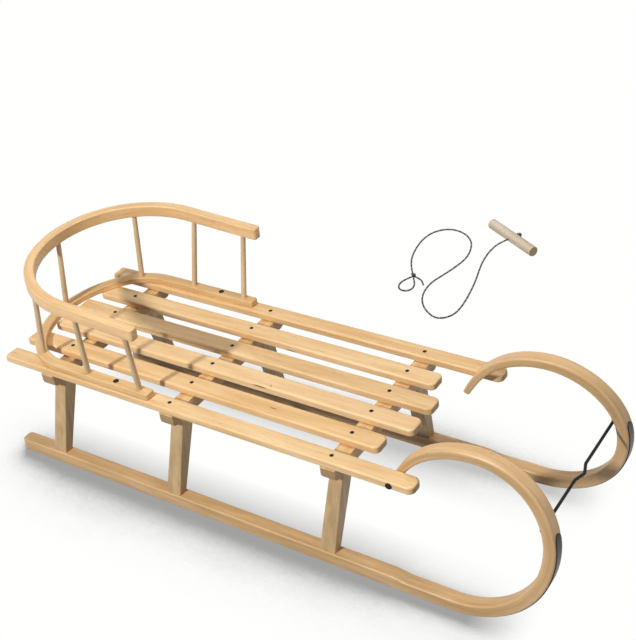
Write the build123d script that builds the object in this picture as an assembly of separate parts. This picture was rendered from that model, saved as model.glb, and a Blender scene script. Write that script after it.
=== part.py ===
from build123d import *
import math
import os

# Horn sled: a child's wooden sled with bentwood runners that curl back as horns,
# a slatted seat, a bentwood backrest on spindles, and a pull cord with a wooden handle.
# Millimetres. +X is forward, +Y is the rider's left, +Z is up, and the floor is z = 0.
# The origin is on the floor, under the middle of the sled's length and width.

# ---------------------------------------------------------------- runners and horns
rear_tip_x = -541.0            # rear end of the runners
runner_gauge = 322.0           # between the runners' middles
runner_width = 25.0
runner_height = 25.0           # straight part that carries the posts
runner_arris = 3.2
rear_corner_radius = 8.0
scarf_start_x = 264.0          # where the runner starts to thin
scarf_length = 32.0
horn_height = 21.0             # thinner part, planed down so that it bends
loop_start_x = 371.5           # where the sole leaves the floor
loop_lower_radius = 163.0
horn_above_seat = 73.0         # height of the horn's crown over the seat
crown_radius = 158.0
crown_turn = 60.0              # degrees past the crown, down toward the seat rail
tip_radius = 250.0
tip_turn = 6.0
horn_front_height = 19.8       # thickness of the horn along its curve
horn_crown_height = 17.0
horn_neck_height = 13.0
horn_tip_height = 11.0
horn_lean = 0.12               # sideways lean toward the middle, per millimetre of climb
drift_start_turn = 100.0       # where the horn starts to bend sideways to the seat rail
horn_steps = 24                # sections along the horn

# ---------------------------------------------------------------- steel shoes
shoe_thickness = 1.5
shoe_width = 17.0
shoe_rear_setback = 12.0
shoe_top_turn = 105.0          # how far the shoe follows the horn, in degrees
shoe_nose_turn = 5.0           # rounded end of the shoe, in degrees
close_gap = 0.25               # between bent pieces that lie on each other

# ---------------------------------------------------------------- posts and beams
beam_positions = {"rear": -425.0, "middle": -153.5, "front": 166.5}
beam_length = 334.0
beam_width = 28.0
beam_height = 25.0
beam_end_radius = 12.0         # on the lower corners of a beam's ends
beam_arris = 2.5
post_foot_length = 30.0        # along X
post_foot_thickness = 19.0     # along Y
post_foot_inset = 3.0          # from the runner's outer face
post_head_length = 25.0
post_head_thickness = 33.0
post_rake = 14.5               # how far the foot stands behind the head
post_head_setback = 4.5        # of the head's middle behind the beam's
beam_overhang = 32.0           # of the beam past the post's outer face
post_arris = 2.0
foot_tenon = (16.0, 10.0, 15.0)
head_tenon = (14.0, 16.0, 18.0)
tenon_clearance = 0.15

# ---------------------------------------------------------------- seat
seat_height = 220.0            # top of the rails and slats
board_thickness = 14.5
board_arris = 3.8
board_tail_radius = 5.0
rail_width = 31.0
rail_spacing = 302.0
rail_rear_x = -525.0
rail_nose_radius = 12.0
slat_width = 36.0
outer_slat_spacing = 178.0
inner_slat_spacing = 58.5
right_outer_slat_ends = (-526.0, 223.0)
inner_slat_ends = (-510.0, 252.0)
left_outer_slat_ends = (-500.0, 226.0)
slat_nose_radius = 11.0

# ---------------------------------------------------------------- backrest
lower_rail_height = 12.0
lower_rail_width = 20.0
lower_rail_half_span = 153.0   # from the middle of the sled to the rail's own middle
lower_rail_side_radius = 108.0
lower_rail_back_radius = 178.0
lower_rail_back_x = -522.0     # middle of the rail at its rearmost point
lower_rail_front_x = -190.0
top_rail_height = 22.0
top_rail_width = 18.0
top_rail_half_span = 173.0
top_rail_side_radius = 168.0
top_rail_back_radius = 184.0
top_rail_back_x = -500.0
top_rail_front_x = -174.0
top_rail_underside = 355.5     # at its front ends
top_rail_rise = 3.1            # upward slope toward the back, in degrees
backrest_arris = 2.2
spindle_foot_radius = 5.2
spindle_head_radius = 4.5
spindle_depth = 9.0            # how far each end goes into its rail
spindle_clearance = 0.15
side_spindles = {"left": ((-214.0, -208.0), (-330.0, -319.0), (-450.0, -434.0)),    # foot and head,
                 "right": ((-214.0, -199.0), (-330.0, -307.0), (-450.0, -421.0))}   # along X

# ---------------------------------------------------------------- fittings
stretcher_radius = 2.5
stretcher_turn = 107.0         # where it sits on the horns, in degrees of their bend
stretcher_kink = 7.0
stretcher_kink_half_width = 21.0
stretcher_bend_radius = 5.0
stretcher_overhang = -1.0      # of each eye's middle past the middle of the horn
stretcher_eye_radius = 5.0
stretcher_eye_thickness = 4.4
bolt_radius = 3.0
bolt_head_radius = 5.5
bolt_head_height = 2.0
bolt_overhang = -1.5           # of the bolt's end past the horn's inner face
horn_bolt_setback = 40.5       # behind the seat rail's front end
screw_head_radius = 5.0
screw_head_height = 1.2
screw_radius = 2.2
screw_length = 24.0
backrest_screw_x = -266.0
fit_clearance = 0.15

# ---------------------------------------------------------------- pull cord and handle
cord_radius = 2.0
handle_length = 160.0
handle_radius = 12.0
handle_end_round = 2.0
handle_bore_clearance = 0.3
handle_centre = (-14.0, 876.0)
handle_heading = -30.0         # direction of the handle's length, in degrees
knot_radius = 6.0
knot_place = (-149.7, 655.4)
# The cord's route from the stop knot through the handle and over the floor to the loop's knot
cord_route = ((-7.0, 888.1, 12), (-31.0, 846.6, 12), (-40, 812, 6), (-38, 775, 2), (-29, 737, 2),
              (-18, 700, 2), (-9, 662, 2), (-2, 624, 2), (3, 586, 2), (1, 551, 2), (-23, 527, 2),
              (-58, 544, 2), (-86, 575, 2), (-100, 612, 2), (-102, 652, 2), (-91, 691, 2),
              (-82, 730, 2), (-77, 770, 2), (-85, 810, 2), (-103, 846, 2), (-135, 871, 2),
              (-174, 875, 2), (-202, 848, 2), (-209, 808, 2), (-204, 768, 2), (-194, 729, 2),
              (-176, 692, 2), (-153, 660, 2))
loop_route = ((-154, 652, 2), (-163, 634, 2), (-164, 615, 2), (-155, 599, 2), (-139, 596, 2),
              (-128, 607, 2), (-130, 625, 2), (-139, 640, 2), (-147, 651, 2))
tail_route = ((-144.5, 656.3, 2), (-133, 653.5, 2), (-121, 645, 2), (-113.5, 634, 2))


def horn_bends():
    """Bends of the horn's outer curve in order: radius and degrees."""
    return ((loop_lower_radius, 90.0), (loop_upper_radius, 90.0), (crown_radius, crown_turn),
            (tip_radius, tip_turn))


def horn_place(turned):
    """Outer point (X, Z) and thickness of the horn where it has turned by so many degrees."""
    x, z = loop_start_x, shoe_thickness
    heading = 0.0
    heights = (horn_height, horn_front_height, horn_crown_height, horn_neck_height, horn_tip_height)
    for index, (radius, turn) in enumerate(horn_bends()):
        after = min(heading + turn, turned)
        x += radius * (math.sin(math.radians(after)) - math.sin(math.radians(heading)))
        z += radius * (math.cos(math.radians(heading)) - math.cos(math.radians(after)))
        share = (after - heading) / turn
        height = heights[index] + share * (heights[index + 1] - heights[index])
        heading = after
        if turned <= heading:
            break
    return x, z, height


def inward(turned, depth):
    """X and Z of a point under the horn's outer curve, at a depth toward the inner side."""
    x, z, height = horn_place(turned)
    return (x - depth * math.sin(math.radians(turned)), z + depth * math.cos(math.radians(turned)))


def bolt_turn_at(height):
    """Degrees of bend at which the middle of the horn comes down to a height."""
    early, late = 180.0, horn_turn
    while late - early > 0.001:
        turned = (early + late) / 2
        if inward(turned, horn_place(turned)[2] / 2)[1] > height:
            early = turned
        else:
            late = turned
    return (early + late) / 2


def horn_y(turned):
    """Distance of the horn's middle from the sled's middle: it leans in, then drifts to the rail."""
    climb = horn_place(turned)[1] - shoe_thickness
    share = min(max((turned - drift_start_turn) / (bolt_turn - drift_start_turn), 0.0), 1.0)
    drift = share ** 2 * (3 - 2 * share)
    return (1 - drift) * (runner_gauge / 2 - horn_lean * climb) + drift * bolted_y


def horn_section(turned, top, bottom, width, radius, side):
    """Rounded section across the horn between two depths, or a plain one where the radius is 0."""
    x, z = inward(turned, (top + bottom) / 2)
    plane = Plane(origin=(x, side * horn_y(turned), z), x_dir=(0, 1, 0),
                  z_dir=(math.cos(math.radians(turned)), 0, math.sin(math.radians(turned))))
    if radius:
        return plane * RectangleRounded(width, bottom - top, radius)
    return plane * Rectangle(width, bottom - top)


def runner(side):
    """One bentwood runner: a straight board, the scarf that thins it, and the horn."""
    top = shoe_thickness + runner_height
    thin_top = shoe_thickness + horn_height
    scarf_end_x = scarf_start_x + scarf_length
    outline = Polyline((scarf_end_x, thin_top), (loop_start_x, thin_top), (loop_start_x, shoe_thickness),
                       (rear_tip_x, shoe_thickness), (rear_tip_x, top), (scarf_start_x, top))
    scarf = Spline((scarf_start_x, top), (scarf_end_x, thin_top), tangents=((1, 0), (1, 0)))
    blank = extrude(Plane.XZ * make_face([outline, scarf]), amount=runner_width / 2, both=True)
    corners = blank.faces().sort_by(Axis.X)[0].edges().filter_by(Axis.Z)
    blank = fillet(corners, rear_corner_radius)
    front_edges = blank.faces().sort_by(Axis.X)[-1].edges()
    long_edges = blank.edges().filter_by(lambda edge: abs((edge % 0.5).Z) < 0.5)
    blank = Pos(0, side * runner_gauge / 2, 0) * fillet(long_edges - front_edges, runner_arris)
    sections = []
    for step in range(horn_steps + 1):
        turned = horn_turn * step / horn_steps
        height = horn_place(turned)[2]
        sections.append(horn_section(turned, 0, height, runner_width, runner_arris, side))
    return blank + loft(sections)


def shoe(side):
    """Steel strip under the sole and up the front of the horn, its top end rounded."""
    rear_x = rear_tip_x + shoe_rear_setback
    strip = Pos((rear_x + loop_start_x) / 2, side * runner_gauge / 2, shoe_thickness / 2)
    strip *= Box(loop_start_x - rear_x, shoe_width, shoe_thickness)
    sections = []
    body_turn = shoe_top_turn - shoe_nose_turn
    count = round(body_turn * horn_steps / horn_turn)
    for step in range(count + 1):
        turned = body_turn * step / count
        sections.append(horn_section(turned, -shoe_thickness, -close_gap, shoe_width, 0, side))
    bend = loft(sections)
    nose = []
    for share in (0.0, 0.4, 0.7, 0.9, 0.99):
        turned = body_turn + share * shoe_nose_turn
        width = shoe_width * math.sqrt(1 - share ** 2)
        nose.append(horn_section(turned, -shoe_thickness, -close_gap, width, 0, side))
    return strip + bend + loft(nose, ruled=True)


def post(side, beam_x):
    """Tapered post from the runner up to the beam, with a tenon at each end, and its foot and head."""
    head_x = beam_x - post_head_setback
    foot_y = runner_gauge / 2 + runner_width / 2 - post_foot_inset - post_foot_thickness / 2
    head_y = beam_length / 2 - beam_overhang - post_head_thickness / 2
    foot = (head_x - post_rake, side * foot_y, shoe_thickness + runner_height)
    head = (head_x, side * head_y, beam_underside)
    side_view = tapered(foot[0], foot[2], post_foot_length, head[0], head[2], post_head_length)
    end_view = tapered(foot[1], foot[2], post_foot_thickness, head[1], head[2], post_head_thickness)
    body = extrude(Plane.XZ * side_view, amount=beam_length, both=True)
    body &= Pos(beam_x, 0, 0) * extrude(Plane.YZ * end_view, amount=2 * post_foot_length, both=True)
    body = fillet(body.edges().filter_by(lambda edge: abs((edge % 0.5).Z) > 0.5), post_arris)
    foot_pin = Pos(foot[0], foot[1], foot[2] - foot_tenon[2] / 2) * Box(*foot_tenon)
    head_pin = Pos(head[0], head[1], head[2] + head_tenon[2] / 2) * Box(*head_tenon)
    return body + foot_pin + head_pin, foot, head


def tapered(foot, foot_z, foot_size, head, head_z, head_size):
    """Outline of a post seen from one side: its foot and its head, each at its own place."""
    return Polygon((foot - foot_size / 2, foot_z), (foot + foot_size / 2, foot_z),
                   (head + head_size / 2, head_z), (head - head_size / 2, head_z), align=None)


def mortise(centre, tenon, direction):
    """Pocket for a tenon, wider and deeper than the tenon by the clearance."""
    size = (tenon[0] + 2 * tenon_clearance, tenon[1] + 2 * tenon_clearance, tenon[2] + tenon_clearance)
    return Pos(centre[0], centre[1], centre[2] + direction * size[2] / 2) * Box(*size)


def cross_beam():
    """Beam across the posts, its lower end corners well rounded."""
    blank = Pos(0, 0, beam_height / 2) * Box(beam_width, beam_length, beam_height)
    underside = blank.faces().sort_by(Axis.Z)[0]
    blank = fillet(underside.edges().filter_by(Axis.X), beam_end_radius)
    top = blank.faces().sort_by(Axis.Z)[-1]
    return fillet(top.edges().filter_by(Axis.X) + blank.edges().filter_by(Axis.Z), beam_arris)


def board(length, width, nose_radius):
    """Seat board from x = 0 forward, its top at z = 0, the front corners rounded."""
    blank = Pos(length / 2, 0, -board_thickness / 2) * Box(length, width, board_thickness)
    nose = blank.edges().filter_by(Axis.Z).group_by(Axis.X)[-1]
    blank = fillet(nose, nose_radius)
    tail = blank.edges().filter_by(Axis.Z).group_by(Axis.X)[0]
    blank = fillet(tail, board_tail_radius)
    long_edges = blank.faces().sort_by(Axis.Z)[-1].edges() + blank.faces().sort_by(Axis.Z)[0].edges()
    return fillet(long_edges, board_arris)


def bent_rail_edges(half_span, side_radius, back_radius, back_x, front_x):
    """Centre line of a bentwood U: straight arms, two side bends and a flatter back."""
    side_y = half_span - side_radius
    reach = back_radius - side_radius
    back_centre_x = back_x + back_radius
    side_centre_x = back_centre_x - math.sqrt(reach ** 2 - side_y ** 2)
    back_angle = math.degrees(math.atan2(side_y, side_centre_x - back_centre_x))
    left_arm = Line((front_x, half_span), (side_centre_x, half_span))
    left_bend = CenterArc((side_centre_x, side_y), side_radius, 90, back_angle - 90)
    back = CenterArc((back_centre_x, 0), back_radius, back_angle, 2 * (180 - back_angle))
    right_bend = CenterArc((side_centre_x, -side_y), side_radius, 360 - back_angle, back_angle - 90)
    right_arm = Line((side_centre_x, -half_span), (front_x, -half_span))
    return Wire([left_arm, left_bend, back, right_bend, right_arm])


def bent_rail(width, height, underside, shape):
    """Bentwood U rail of rectangular section with eased edges."""
    outer = bent_rail_edges(*offset_shape(shape, width / 2))
    inner = bent_rail_edges(*offset_shape(shape, -width / 2))
    ends = [Line(outer @ 0, inner @ 0), Line(outer @ 1, inner @ 1)]
    outline = make_face(list(outer.edges()) + list(inner.edges()) + ends)
    blank = extrude(Pos(0, 0, underside) * outline, amount=height)
    noses = blank.edges().filter_by(Axis.Z).group_by(Axis.X)[-1]
    blank = fillet(noses, min(width, height) * 0.3)
    faces = blank.faces().sort_by(Axis.Z)
    return fillet(faces[0].edges() + faces[-1].edges(), backrest_arris)


def offset_shape(shape, amount):
    """The U's sizes for a line parallel to its centre line."""
    half_span, side_radius, back_radius, back_x, front_x = shape
    return (half_span + amount, side_radius + amount, back_radius + amount, back_x - amount, front_x)


def rail_y(shape, x):
    """Half width of the U's centre line at a place along the sled."""
    half_span, side_radius, back_radius, back_x, front_x = shape
    side_y = half_span - side_radius
    side_centre_x = back_x + back_radius - math.sqrt((back_radius - side_radius) ** 2 - side_y ** 2)
    if x >= side_centre_x:
        return half_span
    return side_y + math.sqrt(side_radius ** 2 - (side_centre_x - x) ** 2)


def tilted(x):
    """X and Z on the top rail's underside, for a place along it before it is tilted."""
    reach = x - top_rail_front_x
    slope = math.radians(top_rail_rise)
    return (top_rail_front_x + reach * math.cos(slope), top_rail_underside - reach * math.sin(slope))


def spindle(foot, head, spare):
    """Round tapered spindle between two points, made wider by the spare for its hole."""
    axis = Vector(*head) - Vector(*foot)
    length = axis.length + 2 * spindle_depth + spare
    start = Vector(*foot) - axis.normalized() * (spindle_depth + spare / 2)
    place = Plane(origin=start, z_dir=axis)
    cone = Cone(spindle_foot_radius + spare, spindle_head_radius + spare, length,
                align=(Align.CENTER, Align.CENTER, Align.MIN))
    return place * cone


def fastener(origin, outward, head_radius, head_height, shank_radius, shank_length):
    """Bolt or screw with a low domed head that faces outward."""
    head = Cylinder(head_radius, head_height, align=(Align.CENTER, Align.CENTER, Align.MIN))
    head = fillet(head.edges().sort_by(Axis.Z)[-1], head_height * 0.6)
    shank = Cylinder(shank_radius, shank_length, align=(Align.CENTER, Align.CENTER, Align.MAX))
    return Plane(origin=origin, z_dir=outward) * (head + shank)


def fastener_hole(origin, outward, shank_radius, shank_length):
    """Hole for a fastener's shank, wider by the fit's clearance and open outward."""
    bore = Cylinder(shank_radius + fit_clearance, shank_length + fit_clearance,
                    align=(Align.CENTER, Align.CENTER, Align.MAX))
    return Plane(origin=origin, z_dir=outward) * bore


def stretcher():
    """Bent steel rod between the horns, kinked forward in the middle for the pull cord."""
    depth = horn_place(stretcher_turn)[2] + close_gap + stretcher_radius
    x, z = inward(stretcher_turn, depth)
    end_y = horn_y(stretcher_turn) + stretcher_overhang
    points = [(x, -end_y, z), (x, -stretcher_kink_half_width, z), (x + stretcher_kink, 0, z),
              (x, stretcher_kink_half_width, z), (x, end_y, z)]
    path = FilletPolyline(*points, radius=stretcher_bend_radius)
    section = Plane(origin=points[0], z_dir=(0, 1, 0)) * Circle(stretcher_radius)
    rod = sweep(section, path=path)
    eye_plane = Plane(origin=(x, 0, z), x_dir=(0, 1, 0),
                      z_dir=(-math.sin(math.radians(stretcher_turn)), 0, math.cos(math.radians(stretcher_turn))))
    for end in (-end_y, end_y):
        rod += eye_plane * Pos(end, 0, 0) * Cylinder(stretcher_eye_radius, stretcher_eye_thickness)
    return rod


def cord_radii(route):
    """Bend radius at each inner point: 0.45 of the shorter run over the tangent of half the turn."""
    points = [Vector(*point) for point in route]
    runs = [after - before for before, after in zip(points, points[1:])]
    radii = []
    for before, after in zip(runs, runs[1:]):
        half_turn = math.radians(before.get_angle(after)) / 2
        radii.append(0.45 * min(before.length, after.length) / math.tan(half_turn))
    return radii


def cord_tube(name, route):
    """Cord of straight runs joined by tangent arcs."""
    radii = cord_radii(route)
    path = FilletPolyline(*route, radius=radii)
    section = Plane(origin=route[0], z_dir=path % 0) * Circle(cord_radius)
    tube = sweep(section, path=path)
    print(name, "length", round(path.length, 1), "radii", [round(radius) for radius in radii],
          "volume ratio", round(tube.volume / (math.pi * cord_radius ** 2 * path.length), 4))
    return tube


beam_underside = seat_height - board_thickness - beam_height
bolt_z = seat_height - board_thickness / 2
rail_inside = rail_spacing / 2 - rail_width / 2
loop_upper_radius = seat_height + horn_above_seat - shoe_thickness - loop_lower_radius
horn_turn = 180 + crown_turn + tip_turn
bolt_turn = bolt_turn_at(bolt_z)
bolted_y = rail_inside - close_gap - runner_width / 2
bolt_x = inward(bolt_turn, horn_place(bolt_turn)[2] / 2)[0]
rail_front_x = bolt_x + horn_bolt_setback
lower_shape = (lower_rail_half_span, lower_rail_side_radius, lower_rail_back_radius,
               lower_rail_back_x, lower_rail_front_x)
top_shape = (top_rail_half_span, top_rail_side_radius, top_rail_back_radius,
             top_rail_back_x, top_rail_front_x)

parts = {}
sides = {"right": -1, "left": 1}

# Runners, shoes, posts and beams
for side_name, side in sides.items():
    parts["runner_" + side_name] = runner(side)
    parts["runner_shoe_" + side_name] = shoe(side)
for place, beam_x in beam_positions.items():
    beam = Pos(beam_x, 0, beam_underside) * cross_beam()
    for side_name, side in sides.items():
        body, foot, head = post(side, beam_x)
        parts["post_" + place + "_" + side_name] = body
        runner_name = "runner_" + side_name
        parts[runner_name] -= mortise(foot, foot_tenon, -1)
        beam -= mortise(head, head_tenon, 1)
    parts["cross_beam_" + place] = beam

# Seat boards
rail_length = rail_front_x - rail_rear_x
for side_name, side in sides.items():
    rail = board(rail_length, rail_width, rail_nose_radius)
    parts["seat_rail_" + side_name] = Pos(rail_rear_x, side * rail_spacing / 2, seat_height) * rail
slat_rows = ((-outer_slat_spacing / 2, right_outer_slat_ends), (-inner_slat_spacing / 2, inner_slat_ends),
             (inner_slat_spacing / 2, inner_slat_ends), (outer_slat_spacing / 2, left_outer_slat_ends))
for number, (slat_y, ends) in enumerate(slat_rows, start=1):
    slat = board(ends[1] - ends[0], slat_width, slat_nose_radius)
    parts["seat_slat_" + str(number)] = Pos(ends[0], slat_y, seat_height) * slat

# Backrest rails and spindles
lower_rail = bent_rail(lower_rail_width, lower_rail_height, seat_height, lower_shape)
top_rail = bent_rail(top_rail_width, top_rail_height, 0, top_shape)
tilt = Pos(top_rail_front_x, 0, top_rail_underside) * Rot(0, top_rail_rise, 0) * Pos(-top_rail_front_x, 0, 0)
top_rail = tilt * top_rail
spindle_places = [("back", (lower_rail_back_x, 0), (top_rail_back_x, 0))]
for side_name, side in sides.items():
    for number, (foot_x, head_x) in enumerate(side_spindles[side_name], start=1):
        foot_place = (foot_x, side * rail_y(lower_shape, foot_x))
        head_place = (head_x, side * rail_y(top_shape, head_x))
        spindle_places.append((side_name + "_" + str(number), foot_place, head_place))
for name, foot_place, head_place in spindle_places:
    foot = (foot_place[0], foot_place[1], seat_height + lower_rail_height)
    head_x, head_z = tilted(head_place[0])
    head = (head_x, head_place[1], head_z)
    parts["spindle_" + name] = spindle(foot, head, 0)
    hole = spindle(foot, head, spindle_clearance)
    lower_rail -= hole
    top_rail -= hole
parts["backrest_lower_rail"] = lower_rail
parts["backrest_top_rail"] = top_rail

# Front stretcher, horn bolts and backrest screws
parts["front_stretcher"] = stretcher()
for side_name, side in sides.items():
    rail_outside = rail_spacing / 2 + rail_width / 2
    bolt_place = (bolt_x, side * rail_outside, bolt_z)
    bolt_length = rail_outside - horn_y(bolt_turn) + runner_width / 2 + bolt_overhang
    parts["horn_bolt_" + side_name] = fastener(bolt_place, (0, side, 0), bolt_head_radius,
                                               bolt_head_height, bolt_radius, bolt_length)
    bolt_hole = fastener_hole(bolt_place, (0, side, 0), bolt_radius, bolt_length)
    parts["seat_rail_" + side_name] -= bolt_hole
    parts["runner_" + side_name] -= bolt_hole
    screw_place = (backrest_screw_x, side * lower_rail_half_span, seat_height + lower_rail_height)
    parts["backrest_screw_" + side_name] = fastener(screw_place, (0, 0, 1), screw_head_radius,
                                                    screw_head_height, screw_radius, screw_length)
    screw_hole = fastener_hole(screw_place, (0, 0, 1), screw_radius, screw_length)
    parts["seat_rail_" + side_name] -= screw_hole
    parts["backrest_lower_rail"] -= screw_hole

# Pull cord, its loop, knots and handle, lying on the floor behind the sled's left side
across = math.radians(handle_heading + 90)
handle_spot = Plane(origin=(*handle_centre, handle_radius), x_dir=(math.sin(across), -math.cos(across), 0),
                    z_dir=(math.cos(across), math.sin(across), 0))
stick = handle_spot * Rot(0, 90, 0) * Cylinder(handle_radius, handle_length)
stick = fillet(stick.edges().filter_by(GeomType.CIRCLE), handle_end_round)
bore = handle_spot * Cylinder(cord_radius + handle_bore_clearance, 3 * handle_radius)
parts["pull_handle"] = stick - bore
stop_knot = handle_spot * Pos(0, 0, handle_radius + knot_radius + close_gap) * Sphere(knot_radius)
loop_knot = Pos(*knot_place, knot_radius) * Sphere(knot_radius)
parts["handle_knot"] = stop_knot
parts["cord_knot"] = loop_knot
for name, route in (("pull_cord", cord_route), ("cord_loop", loop_route), ("cord_tail", tail_route)):
    parts[name] = cord_tube(name, route) - stop_knot - loop_knot

for name, shape in parts.items():
    shape.label = name

os.makedirs("parts", exist_ok=True)
for name, shape in parts.items():
    export_step(shape, "parts/" + name + ".step")
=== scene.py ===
import bpy
import math
import random
from mathutils import Matrix, Vector


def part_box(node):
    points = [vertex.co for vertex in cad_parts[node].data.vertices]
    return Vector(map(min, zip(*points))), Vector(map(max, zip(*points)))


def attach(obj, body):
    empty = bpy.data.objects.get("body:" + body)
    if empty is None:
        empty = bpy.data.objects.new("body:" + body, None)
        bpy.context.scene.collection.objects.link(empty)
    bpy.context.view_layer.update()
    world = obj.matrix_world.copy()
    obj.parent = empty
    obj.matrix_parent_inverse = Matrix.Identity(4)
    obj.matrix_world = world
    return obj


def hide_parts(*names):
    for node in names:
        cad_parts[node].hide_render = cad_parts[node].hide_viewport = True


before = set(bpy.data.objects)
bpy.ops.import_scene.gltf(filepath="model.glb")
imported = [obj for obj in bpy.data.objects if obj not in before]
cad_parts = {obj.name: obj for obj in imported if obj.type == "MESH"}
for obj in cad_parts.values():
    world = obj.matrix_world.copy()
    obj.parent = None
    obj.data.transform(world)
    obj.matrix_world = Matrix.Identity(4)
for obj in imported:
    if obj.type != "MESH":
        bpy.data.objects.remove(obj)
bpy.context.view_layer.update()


# ---------------------------------------------------------------- camera and backdrop
# The sled is seen from its right front corner, a little above, with the camera rolled so that the
# runners fall away toward the horns. A white sweep lies under it.
camera_place = (1.0298, -1.2970, 1.4112)
turn, tilt, roll = math.radians(37.03), math.radians(33.58), math.radians(-7.72)
forward = Vector((-math.sin(turn) * math.cos(tilt), math.cos(turn) * math.cos(tilt), -math.sin(tilt)))
level_right = Vector((math.cos(turn), math.sin(turn), 0))
level_up = level_right.cross(forward)
right = math.cos(roll) * level_right + math.sin(roll) * level_up
up = -math.sin(roll) * level_right + math.cos(roll) * level_up
camera_data = bpy.data.cameras.new("camera")
camera_data.lens = 68.03
camera_data.shift_x = 0.0076
camera_data.shift_y = 0.0115
camera_data.clip_end = 50
camera = bpy.data.objects.new("camera", camera_data)
facing = Matrix((right, up, -forward)).transposed().to_4x4()
camera.matrix_world = Matrix.Translation(camera_place) @ facing
bpy.context.collection.objects.link(camera)
bpy.context.scene.camera = camera
bpy.context.scene.view_settings.view_transform = "Standard"


def add(tree, kind, inputs=None, **settings):
    """Adds a shader node, sets it up, and links or sets its inputs."""
    node = tree.nodes.new("ShaderNode" + kind)
    for name, value in settings.items():
        setattr(node, name, value)
    for socket, value in (inputs or {}).items():
        if isinstance(value, bpy.types.NodeSocket):
            tree.links.new(value, node.inputs[socket])
        else:
            node.inputs[socket].default_value = value
    return node


def linear(hex_colour):
    """An sRGB hex colour as linear red, green, blue and alpha."""
    parts = [int(hex_colour[i:i + 2], 16) / 255 for i in (1, 3, 5)]
    return tuple(c / 12.92 if c <= 0.04045 else ((c + 0.055) / 1.055) ** 2.4 for c in parts) + (1.0,)


def new_material(name):
    """An empty material and its output node."""
    material = bpy.data.materials.new(name)
    material.use_nodes = True
    material.node_tree.nodes.clear()
    return material, add(material.node_tree, "OutputMaterial")


def seen_directly(tree):
    """1 where the camera, a reflection or a see-through surface looks at the backdrop."""
    path = add(tree, "LightPath")
    first = add(tree, "Math", {0: path.outputs["Is Camera Ray"], 1: path.outputs["Is Glossy Ray"]},
                operation="MAXIMUM")
    return add(tree, "Math", {0: first.outputs[0], 1: path.outputs["Is Transmission Ray"]},
               operation="MAXIMUM").outputs[0]


# Matt white paper: seen directly it glows plain white but for painted soft shadows along the two
# runners, which deepen where an ambient occlusion test finds the sled hiding more of the room from the
# paper; the lamps cast no shadow on it. Each edge of a shadow fades between two places on the floor, in
# metres.
near_edge = (-0.06, -0.17)
far_inner_edge = (0.04, 0.13)
far_outer_edge = (0.30, 0.22)
front_edge = (0.50, 0.40)
far_share = 0.7                # strength of the far side's shadow beside the near side's
room_reach = 0.28              # how far off the sled still hides the room from the paper
open_share = (0.765, 0.85)     # share of open room at the shadow's core and at its rim
core_brightness = 0.36         # of the paper in the shadow's core
paper, paper_output = new_material("white_paper_painted_shadow")
tree = paper.node_tree
spot = add(tree, "SeparateXYZ", {0: add(tree, "NewGeometry").outputs["Position"]}).outputs
near_side = add(tree, "MapRange", {0: spot["Y"], 1: near_edge[0], 2: near_edge[1]}).outputs[0]
far_side = add(tree, "MapRange", {0: spot["Y"], 1: far_inner_edge[0], 2: far_inner_edge[1],
                                  4: far_share}).outputs[0]
beyond = add(tree, "MapRange", {0: spot["Y"], 1: far_outer_edge[0], 2: far_outer_edge[1]}).outputs[0]
behind_horns = add(tree, "MapRange", {0: spot["X"], 1: front_edge[0], 2: front_edge[1]}).outputs[0]
far_band = add(tree, "Math", {0: far_side, 1: beyond}, operation="MULTIPLY").outputs[0]
bands = add(tree, "Math", {0: near_side, 1: far_band}, operation="MAXIMUM").outputs[0]
shown_share = add(tree, "Math", {0: bands, 1: behind_horns}, operation="MULTIPLY").outputs[0]
# Painted shadow: the occlusion test, not the lamps, darkens the paper's glow inside the bands.
open_room = add(tree, "AmbientOcclusion", {"Distance": room_reach}, samples=12).outputs["AO"]
shadow = add(tree, "MapRange", {0: open_room, 1: open_share[0], 2: open_share[1],
                                3: core_brightness, 4: 1.0}).outputs[0]
brightness = add(tree, "Mix", {0: shown_share, 2: 1.0, 3: shadow}).outputs[0]
bounce = add(tree, "BsdfDiffuse", {"Color": linear("#94969A")})
painted_shadow_glow = add(tree, "Emission", {"Color": (1.0, 1.0, 0.985, 1.0), "Strength": brightness})
mixed = add(tree, "MixShader", {0: seen_directly(tree), 1: bounce.outputs[0], 2: painted_shadow_glow.outputs[0]})
tree.links.new(mixed.outputs[0], paper_output.inputs["Surface"])

half = 7                       # half the side of the sheet, in metres
floor_mesh = bpy.data.meshes.new("floor")
floor_mesh.from_pydata([(-half, -half, 0), (half, -half, 0), (half, half, 0), (-half, half, 0)], [],
                       [(0, 1, 2, 3)])
floor = bpy.data.objects.new("floor", floor_mesh)
floor_mesh.materials.append(paper)
bpy.context.collection.objects.link(floor)

world = bpy.data.worlds.new("studio")
bpy.context.scene.world = world
world.use_nodes = True
tree = world.node_tree
tree.nodes.clear()
room_light = add(tree, "Background", {"Color": linear("#E8EEFA"), "Strength": 0.07})
white_sweep = add(tree, "Background", {"Color": linear("#FFFFFF"), "Strength": 1.0})
sky = add(tree, "MixShader", {0: seen_directly(tree), 1: room_light.outputs[0],
                              2: white_sweep.outputs[0]})
tree.links.new(sky.outputs[0], add(tree, "OutputWorld").inputs["Surface"])


def lamp(name, place, target, size, power):
    """A soft square lamp that faces a point: its size in metres, its power in watts."""
    data = bpy.data.lights.new(name, "AREA")
    data.size = size
    data.energy = power
    data.color = (1.0, 1.0, 0.985)
    light = bpy.data.objects.new(name, data)
    light.location = place
    light.rotation_mode = "QUATERNION"
    light.rotation_quaternion = (Vector(target) - Vector(place)).to_track_quat("-Z", "Y")
    bpy.context.collection.objects.link(light)


lamp("spot_left", (-0.5, -2.35, 2.01), (-0.2, 0, 0.2), 0.16, 75)
lamp("softbox_overhead", (0.3, 0.3, 2.75), (0, 0, 0.1), 1.3, 34)
lamp("card_front", (2.4, 0.1, 1.2), (0, 0, 0.15), 1.0, 10)


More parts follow.
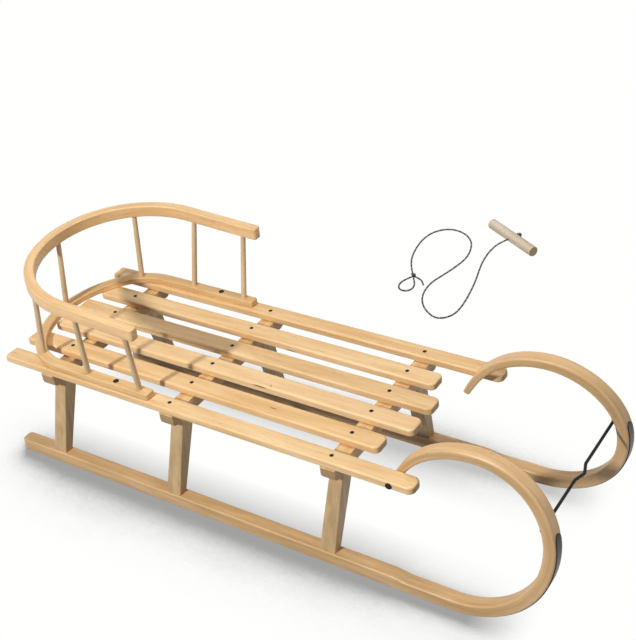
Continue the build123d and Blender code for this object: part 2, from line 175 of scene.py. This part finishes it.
# ---------------------------------------------------------------- pull cord
# A braided cord of eight thin plaits, two of them light, with an overhand stop knot at the handle
# and a small loop and tail at the other end. It is limp and lies on the floor.
cord_diameter = 0.004
plait_radius = 0.00062
plait_ring = 0.00128
plait_weave = 0.00026
plait_pitch = 0.016
core_sides = 8
plait_sides = 5
thread_size = 0.0009           # of the fine pattern on the yarn
cord_route = ((-7.0, 888.1, 12), (-31.0, 846.6, 12), (-40, 812, 6), (-38, 775, 2), (-29, 737, 2),
              (-18, 700, 2), (-9, 662, 2), (-2, 624, 2), (3, 586, 2), (1, 551, 2), (-23, 527, 2),
              (-58, 544, 2), (-86, 575, 2), (-100, 612, 2), (-102, 652, 2), (-91, 691, 2),
              (-82, 730, 2), (-77, 770, 2), (-85, 810, 2), (-103, 846, 2), (-135, 871, 2),
              (-174, 875, 2), (-202, 848, 2), (-209, 808, 2), (-204, 768, 2), (-194, 729, 2),
              (-176, 692, 2), (-153, 660, 2))
loop_route = ((-154, 652, 2), (-163, 634, 2), (-164, 615, 2), (-155, 599, 2), (-139, 596, 2),
              (-128, 607, 2), (-130, 625, 2), (-139, 640, 2), (-147, 651, 2))
tail_route = ((-144.5, 656.3, 2), (-133, 653.5, 2), (-121, 645, 2), (-113.5, 634, 2))


def smooth_line(name, route, steps):
    """Points along the smooth line that a route in millimetres gives."""
    curve = bpy.data.curves.new(name, "CURVE")
    curve.dimensions = "3D"
    spline = curve.splines.new("NURBS")
    spline.points.add(len(route) - 1)
    for point, place in zip(spline.points, route):
        point.co = (place[0] / 1000, place[1] / 1000, place[2] / 1000, 1)
    spline.order_u = 3
    spline.use_endpoint_u = True
    spline.resolution_u = steps
    holder = bpy.data.objects.new(name, curve)
    line = bpy.data.meshes.new_from_object(holder)
    points = [vertex.co.copy() for vertex in line.vertices]
    bpy.data.meshes.remove(line)
    bpy.data.objects.remove(holder)
    bpy.data.curves.remove(curve)
    return points


def side_frames(points):
    """Two directions across the line at each point, carried along without twist."""
    tangents = [(b - a).normalized() for a, b in zip(points, points[1:])]
    tangents.append(tangents[-1])
    side = tangents[0].orthogonal().normalized()
    frames = []
    for before, tangent in zip([tangents[0]] + tangents, tangents):
        side = before.rotation_difference(tangent) @ side
        side = (side - tangent * side.dot(tangent)).normalized()
        frames.append((side, tangent.cross(side)))
    return frames


def tube(verts, faces, marks, points, radius, sides, mark):
    """Adds a closed tube along points to the lists of a mesh."""
    start = len(verts)
    for point, (across, over) in zip(points, side_frames(points)):
        for k in range(sides):
            angle = 2 * math.pi * k / sides
            verts.append(point + radius * (math.cos(angle) * across + math.sin(angle) * over))
    for row in range(len(points) - 1):
        for k in range(sides):
            a = start + row * sides + k
            b = start + row * sides + (k + 1) % sides
            faces.append((a, b, b + sides, a + sides))
            marks.append(mark)
    faces.append(tuple(range(start + sides - 1, start - 1, -1)))
    faces.append(tuple(range(len(verts) - sides, len(verts))))
    marks.extend((mark, mark))


def dyed_yarn(name, dark, light):
    """Polyester yarn in thin bundles: fine threads along the plait, dull sheen."""
    material, output = new_material(name)
    tree = material.node_tree
    place = add(tree, "TexCoord").outputs["Object"]
    threads = add(tree, "TexNoise", {"Vector": place, "Scale": 1 / thread_size, "Detail": 2.0})
    colour = add(tree, "Mix", {0: threads.outputs["Fac"], 6: linear(dark), 7: linear(light)},
                 data_type="RGBA")
    bump = add(tree, "Bump", {"Height": threads.outputs["Fac"], "Distance": 0.0002, "Strength": 0.5})
    yarn = add(tree, "BsdfPrincipled", {"Base Color": colour.outputs[2], "Roughness": 0.72,
                                        "Sheen Weight": 0.15, "Normal": bump.outputs[0]})
    tree.links.new(yarn.outputs[0], output.inputs["Surface"])
    return material


yarns = [dyed_yarn("polyester_yarn_black", "#101516", "#232B2C"),
         dyed_yarn("polyester_yarn_teal", "#24393D", "#4B6A70"),
         dyed_yarn("polyester_yarn_rust", "#6A2A1C", "#9A4A35"),
         dyed_yarn("polyester_yarn_cream", "#C9B299", "#E9D9C2")]
plait_colours = {1: (3, 0, 1, 2), -1: (0, 1, 0, 0)}     # the yarns of the four plaits each way


def braid(name, points):
    """A braided cord along points: four plaits each way, over one and under one, on a dark core."""
    frames = side_frames(points)
    travelled = [0.0]
    for a, b in zip(points, points[1:]):
        travelled.append(travelled[-1] + (b - a).length)
    verts, faces, marks = [], [], []
    tube(verts, faces, marks, points, plait_ring, core_sides, 0)
    for way, colours in plait_colours.items():
        for number, mark in enumerate(colours):
            plait = []
            for point, (across, over), distance in zip(points, frames, travelled):
                wound = 2 * math.pi * distance / plait_pitch
                reach = plait_ring + way * plait_weave * math.cos(len(colours) * wound)
                angle = way * wound + number * 2 * math.pi / len(colours)
                plait.append(point + reach * (math.cos(angle) * across + math.sin(angle) * over))
            tube(verts, faces, marks, plait, plait_radius, plait_sides, mark)
    mesh = bpy.data.meshes.new(name)
    mesh.from_pydata(verts, [], faces)
    mesh.polygons.foreach_set("material_index", marks)
    mesh.polygons.foreach_set("use_smooth", [True] * len(faces))
    for yarn in yarns:
        mesh.materials.append(yarn)
    piece = bpy.data.objects.new(name, mesh)
    bpy.context.collection.objects.link(piece)
    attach(piece, "root")
    return piece


cord_steps, end_steps = 40, 18     # points of the smooth line for each point of a route
cord_line = smooth_line("cord_line", cord_route, cord_steps)
loop_line = smooth_line("loop_line", loop_route, end_steps)
tail_line = smooth_line("tail_line", tail_route, end_steps)
pull_cord = braid("pull_cord_braid", cord_line)
cord_loop = braid("cord_loop_braid", loop_line)
cord_tail = braid("cord_tail_braid", tail_line)
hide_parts("pull_cord")
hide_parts("cord_loop")
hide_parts("cord_tail")


# ---------------------------------------------------------------- knots in the cord
# Both knots are overhand knots of the same braid, pulled tight: the stop knot that keeps the handle
# on, and the knot that closes the loop.
knot_steps = 96
knot_flatness = 0.75           # height of the knot as a share of its width


def overhand_knot(name, node):
    """A tight overhand knot that fills its CAD ball."""
    low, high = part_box(node)
    centre = (low + high) / 2
    reach = (high.x - low.x) / 2 - cord_diameter / 2
    points = []
    for step in range(knot_steps + 1):
        t = 2 * math.pi * step / knot_steps
        wide = (math.sin(t) + 2 * math.sin(2 * t)) / 3
        deep = (math.cos(t) - 2 * math.cos(2 * t)) / 3
        high_share = -math.sin(3 * t)
        points.append(centre + Vector((wide * reach, deep * reach, high_share * reach * knot_flatness)))
    piece = braid(name, points)
    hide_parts(node)
    return piece


handle_knot = overhand_knot("handle_knot_braid", "handle_knot")
cord_knot = overhand_knot("cord_knot_braid", "cord_knot")


# ---------------------------------------------------------------- beech of the straight pieces
# Planed beech with a satin clear varnish. The boards are sawn with the grain along their length: the
# eye sees faint long streaks and short brown flecks, and each piece has a slightly different tone.
grain_stretch = 14.0           # how much finer the figure is across the grain than along it
ring_length = 160              # of the figure along the grain, in mm
fibre_length = 60
fleck_length = 16
fleck_colour = "#8F6236"
end_grain_colour = "#8E7249"
crack_colour = "#4A3018"


def grain_along(axis, heading=0.0):
    """For a straight piece: coordinates that change slowly along X, Y or Z and fast across it.

    The heading, in degrees, is how far the piece is turned from its axis on the floor.
    """
    def in_line(tree, name):
        return add(tree, "VectorRotate", {"Vector": add(tree, "TexCoord").outputs[name],
                                          "Angle": -math.radians(heading)},
                   rotation_type="Z_AXIS").outputs[0]

    def coordinates(tree):
        place = in_line(tree, "Object")
        stretch = [grain_stretch] * 3
        stretch["XYZ".index(axis)] = 1.0
        other = "XYZ"["XYZ".index(axis) - 1]
        stretch["XYZ".index(other)] = 1.0
        fine = add(tree, "VectorMath", {0: place, 1: stretch}, operation="MULTIPLY").outputs[0]
        facing = add(tree, "SeparateXYZ", {0: in_line(tree, "Normal")}).outputs[axis]
        square_on = add(tree, "Math", {0: facing}, operation="ABSOLUTE").outputs[0]
        end_grain = add(tree, "MapRange", {0: square_on, 1: 0.7, 2: 0.95, 4: 0.8}).outputs[0]
        return fine, add(tree, "SeparateXYZ", {0: place}).outputs[other], end_grain
    return coordinates


def varnished_beech(name, grain, pale, deep, seed, marks=()):
    """Beech: rings, fibres and flecks along the piece, darker sawn ends, satin varnish.

    Each mark is a crack or a small knot: its middle and its half size, in millimetres.
    """
    material, output = new_material(name)
    tree = material.node_tree
    fine, across, end_grain = grain(tree)
    depth = add(tree, "Math", {0: across, 1: grain_stretch, 2: seed}, operation="MULTIPLY_ADD").outputs[0]

    def figure(length_mm, detail):
        return add(tree, "TexNoise", {"Vector": fine, "W": depth, "Scale": 1000 / length_mm,
                                      "Detail": detail}, noise_dimensions="4D").outputs["Fac"]

    rings, fibres, flecks = figure(ring_length, 2.0), figure(fibre_length, 2.0), figure(fleck_length, 1.0)
    ring_tone = add(tree, "MapRange", {0: rings, 1: 0.33, 2: 0.67}).outputs[0]
    fibre_tone = add(tree, "MapRange", {0: fibres, 1: 0.3, 2: 0.7, 3: -0.22, 4: 0.22}).outputs[0]
    tone = add(tree, "Math", {0: ring_tone, 1: fibre_tone}, operation="ADD").outputs[0]
    wood = add(tree, "Mix", {0: tone, 6: linear(pale), 7: linear(deep)}, data_type="RGBA").outputs[2]
    fleck_mask = add(tree, "MapRange", {0: flecks, 1: 0.64, 2: 0.74, 3: 0.0, 4: 0.45}).outputs[0]
    for mask, colour in ((fleck_mask, fleck_colour), (end_grain, end_grain_colour)):
        wood = add(tree, "Mix", {0: mask, 6: wood, 7: linear(colour)}, data_type="RGBA").outputs[2]
    for middle, half_size in marks:
        reach = add(tree, "VectorMath", {0: add(tree, "TexCoord").outputs["Object"],
                                         1: [c / 1000 for c in middle]}, operation="SUBTRACT").outputs[0]
        reach = add(tree, "VectorMath", {0: reach, 1: [1000 / c for c in half_size]},
                    operation="MULTIPLY").outputs[0]
        far = add(tree, "VectorMath", {0: reach}, operation="LENGTH").outputs["Value"]
        dark = add(tree, "MapRange", {0: far, 1: 1.0, 2: 0.55, 4: 0.85}).outputs[0]
        wood = add(tree, "Mix", {0: dark, 6: wood, 7: linear(crack_colour)}, data_type="RGBA").outputs[2]
    gloss = add(tree, "MapRange", {0: fibres, 1: 0.3, 2: 0.7, 3: 0.40, 4: 0.52}).outputs[0]
    bump = add(tree, "Bump", {"Height": fibres, "Distance": 0.0003, "Strength": 0.2}).outputs[0]
    shader = add(tree, "BsdfPrincipled", {"Base Color": wood, "Roughness": gloss, "IOR": 1.5,
                                          "Coat Weight": 0.1, "Coat Roughness": 0.25, "Normal": bump})
    tree.links.new(shader.outputs[0], output.inputs["Surface"])
    return material


def dress(node, material):
    """Gives a CAD piece its material."""
    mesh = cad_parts[node].data
    mesh.materials.clear()
    mesh.materials.append(material)


board_tones = (("#EBC896", "#D9B07A"), ("#E8C28E", "#D5A970"), ("#EDCB9A", "#DDB582"),
               ("#E6C392", "#D2A872"))
boards = ("seat_rail_right", "seat_slat_1", "seat_slat_2", "seat_slat_3", "seat_slat_4",
          "seat_rail_left")
board_marks = {"seat_slat_1": (((17, -90, 220), (9, 1.2, 2)),),
               "seat_slat_2": (((-42, -47, 217), (18, 2.0, 1.6)), ((-21.5, -41, 220), (2.2, 1.8, 2))),
               "seat_slat_4": (((-58, 71, 209), (13, 3, 1.5)),)}
for number, node in enumerate(boards):
    pale, deep = board_tones[number % len(board_tones)]
    dress(node, varnished_beech("beech_board_" + node, grain_along("X"), pale, deep, 3.1 * number,
                                board_marks.get(node, ())))
for number, place in enumerate(("rear", "middle", "front")):
    dress("cross_beam_" + place,
          varnished_beech("beech_beam_" + place, grain_along("Y"), "#DDB985", "#C79D66",
                          20 + 2.3 * number))
    for side in ("left", "right"):
        node = "post_" + place + "_" + side
        seed = 31 + 4.7 * number + 1.9 * (side == "left")
        # The posts' beech is darker than the boards' and beams': partly the wood's own tone, partly painted
        # shade for the shade they stand in under the seat.
        dress(node, varnished_beech("beech_" + node, grain_along("Z"), "#C9AB7F", "#B19165", seed))
for number, name in enumerate(("back", "left_1", "left_2", "left_3", "right_1", "right_2", "right_3")):
    dress("spindle_" + name,
          varnished_beech("beech_spindle_" + name, grain_along("Z"), "#DDC29A", "#C8A97F",
                          50 + 1.7 * number))


# ---------------------------------------------------------------- bent rails of the backrest
# Two strips of steam-bent beech, each bent to a U. The grain follows the bend all the way round.
def bent_rail_grain(half_span, side_radius, back_radius, back_x, rise):
    """Coordinates for a U in millimetres that slopes up toward the back: fast across its line only."""
    side_y = half_span - side_radius
    reach = back_radius - side_radius
    back_centre = back_x + back_radius
    side_centre = back_centre - math.sqrt(reach ** 2 - side_y ** 2)
    joint_y = back_radius * side_y / reach

    def coordinates(tree):
        place = add(tree, "TexCoord").outputs["Object"]
        parts = add(tree, "SeparateXYZ", {0: place}).outputs
        width = add(tree, "Math", {0: parts["Y"]}, operation="ABSOLUTE").outputs[0]

        def out_from(x, y, radius):
            along = add(tree, "Math", {0: parts["X"], 1: x / 1000}, operation="SUBTRACT").outputs[0]
            aside = add(tree, "Math", {0: width, 1: y / 1000}, operation="SUBTRACT").outputs[0]
            spot = add(tree, "CombineXYZ", {0: along, 1: aside}).outputs[0]
            far = add(tree, "VectorMath", {0: spot}, operation="LENGTH").outputs["Value"]
            return add(tree, "Math", {0: far, 1: radius / 1000}, operation="SUBTRACT").outputs[0]

        arm = add(tree, "Math", {0: width, 1: half_span / 1000}, operation="SUBTRACT").outputs[0]
        on_side = add(tree, "Math", {0: width, 1: joint_y / 1000}, operation="GREATER_THAN").outputs[0]
        behind = add(tree, "Math", {0: parts["X"], 1: side_centre / 1000}, operation="LESS_THAN").outputs[0]
        bend = add(tree, "Mix", {0: on_side, 2: out_from(back_centre, 0, back_radius),
                                 3: out_from(side_centre, side_y, side_radius)}).outputs[0]
        across = add(tree, "Mix", {0: behind, 2: arm, 3: bend}).outputs[0]
        level = add(tree, "Math", {0: parts["X"], 1: rise, 2: parts["Z"]},
                    operation="MULTIPLY_ADD").outputs[0]
        layer = add(tree, "Math", {0: level, 1: grain_stretch}, operation="MULTIPLY").outputs[0]
        return add(tree, "CombineXYZ", {0: parts["X"], 1: parts["Y"], 2: layer}).outputs[0], across, 0.0
    return coordinates


lower_rail_grain = bent_rail_grain(153, 108, 178, -522, 0.0)
top_rail_grain = bent_rail_grain(173, 168, 184, -500, 0.054)
dress("backrest_lower_rail",
      varnished_beech("bent_beech_lower_rail", lower_rail_grain, "#E2BC86", "#CFA267", 71.0))
dress("backrest_top_rail",
      varnished_beech("bent_beech_top_rail", top_rail_grain, "#EBC592", "#D8AE78", 77.0))


# ---------------------------------------------------------------- runners and horns
# Steam-bent beech again, a little browner: the grain runs along the sole and round the horn.
loop_start_x = 0.3715          # where the sole leaves the floor
loop_middle_z = 0.1645         # height of the horn's foremost point
loop_radius = 0.163            # outer radius of the lower half
upper_loop_radius = 0.1285
crown_x, crown_z, crown_radius = 0.406, 0.135, 0.158
neck_height = 0.293            # of the upper loop over the floor, where the figure stops rising
leaning = 0.13                 # metres toward the middle for each metre of height


def horn_grain(tree):
    """Coordinates for a runner: the figure changes fast across the sole's and the horn's line only."""
    place = add(tree, "TexCoord").outputs["Object"]
    parts = add(tree, "SeparateXYZ", {0: place}).outputs

    def in_from(x, z, radius):
        along = add(tree, "Math", {0: parts["X"], 1: x}, operation="SUBTRACT").outputs[0]
        above = add(tree, "Math", {0: parts["Z"], 1: z}, operation="SUBTRACT").outputs[0]
        spot = add(tree, "CombineXYZ", {0: along, 1: above}).outputs[0]
        far = add(tree, "VectorMath", {0: spot}, operation="LENGTH").outputs["Value"]
        return add(tree, "Math", {0: radius, 1: far}, operation="SUBTRACT").outputs[0]

    ahead = add(tree, "Math", {0: parts["X"], 1: loop_start_x}, operation="GREATER_THAN").outputs[0]
    high = add(tree, "Math", {0: parts["Z"], 1: loop_middle_z}, operation="GREATER_THAN").outputs[0]
    front = add(tree, "Math", {0: parts["X"], 1: crown_x}, operation="GREATER_THAN").outputs[0]
    low_part = add(tree, "Mix", {0: ahead, 2: parts["Z"],
                                 3: in_from(loop_start_x, loop_middle_z, loop_radius)}).outputs[0]
    high_part = add(tree, "Mix", {0: front, 2: in_from(crown_x, crown_z, crown_radius),
                                  3: in_from(crown_x, loop_middle_z, upper_loop_radius)}).outputs[0]
    across = add(tree, "Mix", {0: high, 2: low_part, 3: high_part}).outputs[0]
    on_neck = add(tree, "Math", {0: high, 1: front}, operation="GREATER_THAN").outputs[0]
    climb = add(tree, "Mix", {0: on_neck, 2: parts["Z"], 3: neck_height}).outputs[0]
    width = add(tree, "Math", {0: parts["Y"]}, operation="ABSOLUTE").outputs[0]
    upright = add(tree, "Math", {0: climb, 1: leaning, 2: width}, operation="MULTIPLY_ADD").outputs[0]
    layer = add(tree, "Math", {0: upright, 1: grain_stretch}, operation="MULTIPLY").outputs[0]
    return add(tree, "CombineXYZ", {0: parts["X"], 1: layer, 2: parts["Z"]}).outputs[0], across, 0.0


for number, side in enumerate(("left", "right")):
    dress("runner_" + side,
          varnished_beech("bent_beech_runner_" + side, horn_grain, "#DCB585", "#C39C69",
                          83 + 6.1 * number))


# ---------------------------------------------------------------- steel shoes and fittings
# Cold-rolled steel strip under the runners, finely scratched by the snow, and blackened steel
# for the rod between the horns, the bolts and the screws.
scratch_length = 0.03          # in metres
scratch_stretch = 25           # how much finer the scratches are across than along


def dark_steel(name, dark, bare, roughness):
    """Burnished steel: dark oxide, with fine scratches where the metal shows."""
    material, output = new_material(name)
    tree = material.node_tree
    place = add(tree, "TexCoord").outputs["Object"]
    streaked = add(tree, "VectorMath", {0: place, 1: (1, scratch_stretch, scratch_stretch)},
                   operation="MULTIPLY").outputs[0]
    scratches = add(tree, "TexNoise", {"Vector": streaked, "Scale": 1 / scratch_length,
                                       "Detail": 4.0}).outputs["Fac"]
    worn = add(tree, "MapRange", {0: scratches, 1: 0.5, 2: 0.75}).outputs[0]
    colour = add(tree, "Mix", {0: worn, 6: linear(dark), 7: linear(bare)}, data_type="RGBA").outputs[2]
    rough = add(tree, "MapRange", {0: scratches, 3: roughness - 0.08, 4: roughness + 0.1}).outputs[0]
    steel = add(tree, "BsdfPrincipled", {"Base Color": colour, "Metallic": 0.85, "Roughness": rough})
    tree.links.new(steel.outputs[0], output.inputs["Surface"])
    return material


shoe_steel = dark_steel("burnished_steel_shoe", "#1D1C1B", "#45423F", 0.38)
black_steel = dark_steel("blackened_steel", "#1B1B1C", "#3C3C3D", 0.45)
for side in ("left", "right"):
    dress("runner_shoe_" + side, shoe_steel)
    dress("horn_bolt_" + side, black_steel)
    dress("backrest_screw_" + side, black_steel)
dress("front_stretcher", black_steel)


# ---------------------------------------------------------------- seat screws
# Countersunk wood screws of blackened steel, 7 mm over the head, hold every board to each cross beam.
# Each head stands a little proud of the board's face and has a cross recess.
board_top = 0.220
screw_rows = {-0.4275: (-0.089, -0.0292, 0.0292, 0.089),
              -0.1535: (-0.150, -0.089, -0.0292, 0.0292, 0.089, 0.150),
              0.1665: (-0.150, -0.089, -0.0292, 0.0292, 0.089, 0.150)}
head_rings = ((0.0035, 0.00005), (0.0035, 0.00035), (0.0029, 0.0006))     # radius and height
head_sides = 16
slot_reach, slot_floor = 0.0019, 0.0003       # the cross recess: half its length, and its height
web_reach, web_height = 0.0007, 0.0006        # the corners between its arms


def screw_heads(name):
    """One mesh of all the screw heads, each turned a different way."""
    rng = random.Random(5)
    verts, faces = [], []
    for x, row in screw_rows.items():
        for y in row:
            start, turned = len(verts), rng.uniform(0, math.pi)

            def ring_point(k, radius, height):
                angle = turned + 2 * math.pi * k / head_sides
                return x + radius * math.cos(angle), y + radius * math.sin(angle), board_top + height

            for radius, height in head_rings:
                verts.extend(ring_point(k, radius, height) for k in range(head_sides))
            for row_start in (start, start + head_sides):
                for k in range(head_sides):
                    a, b = row_start + k, row_start + (k + 1) % head_sides
                    faces.append((a, b, b + head_sides, a + head_sides))
            rim = start + 2 * head_sides
            centre = len(verts)
            verts.append((x, y, board_top + slot_floor))
            for k in range(head_sides):
                in_slot = k % 4 == 0
                verts.append(ring_point(k, slot_reach if in_slot else web_reach,
                                        slot_floor if in_slot else web_height))
            for k in range(head_sides):
                after = (k + 1) % head_sides
                a, b = centre + 1 + k, centre + 1 + after
                faces.append((centre, a, b))
                faces.append((a, rim + k, rim + after, b))
    mesh = bpy.data.meshes.new(name)
    mesh.from_pydata(verts, [], faces)
    mesh.materials.append(black_steel)
    piece = bpy.data.objects.new(name, mesh)
    bpy.context.collection.objects.link(piece)
    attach(piece, "root")


screw_heads("seat_screw_heads")


# ---------------------------------------------------------------- handle
# A turned beech stick without stain: paler and greyer than the boards, with the grain along it.
handle_heading = -30.0
dress("pull_handle",
      varnished_beech("turned_beech_handle", grain_along("X", handle_heading), "#ECDCC6", "#CDB594", 95.0))
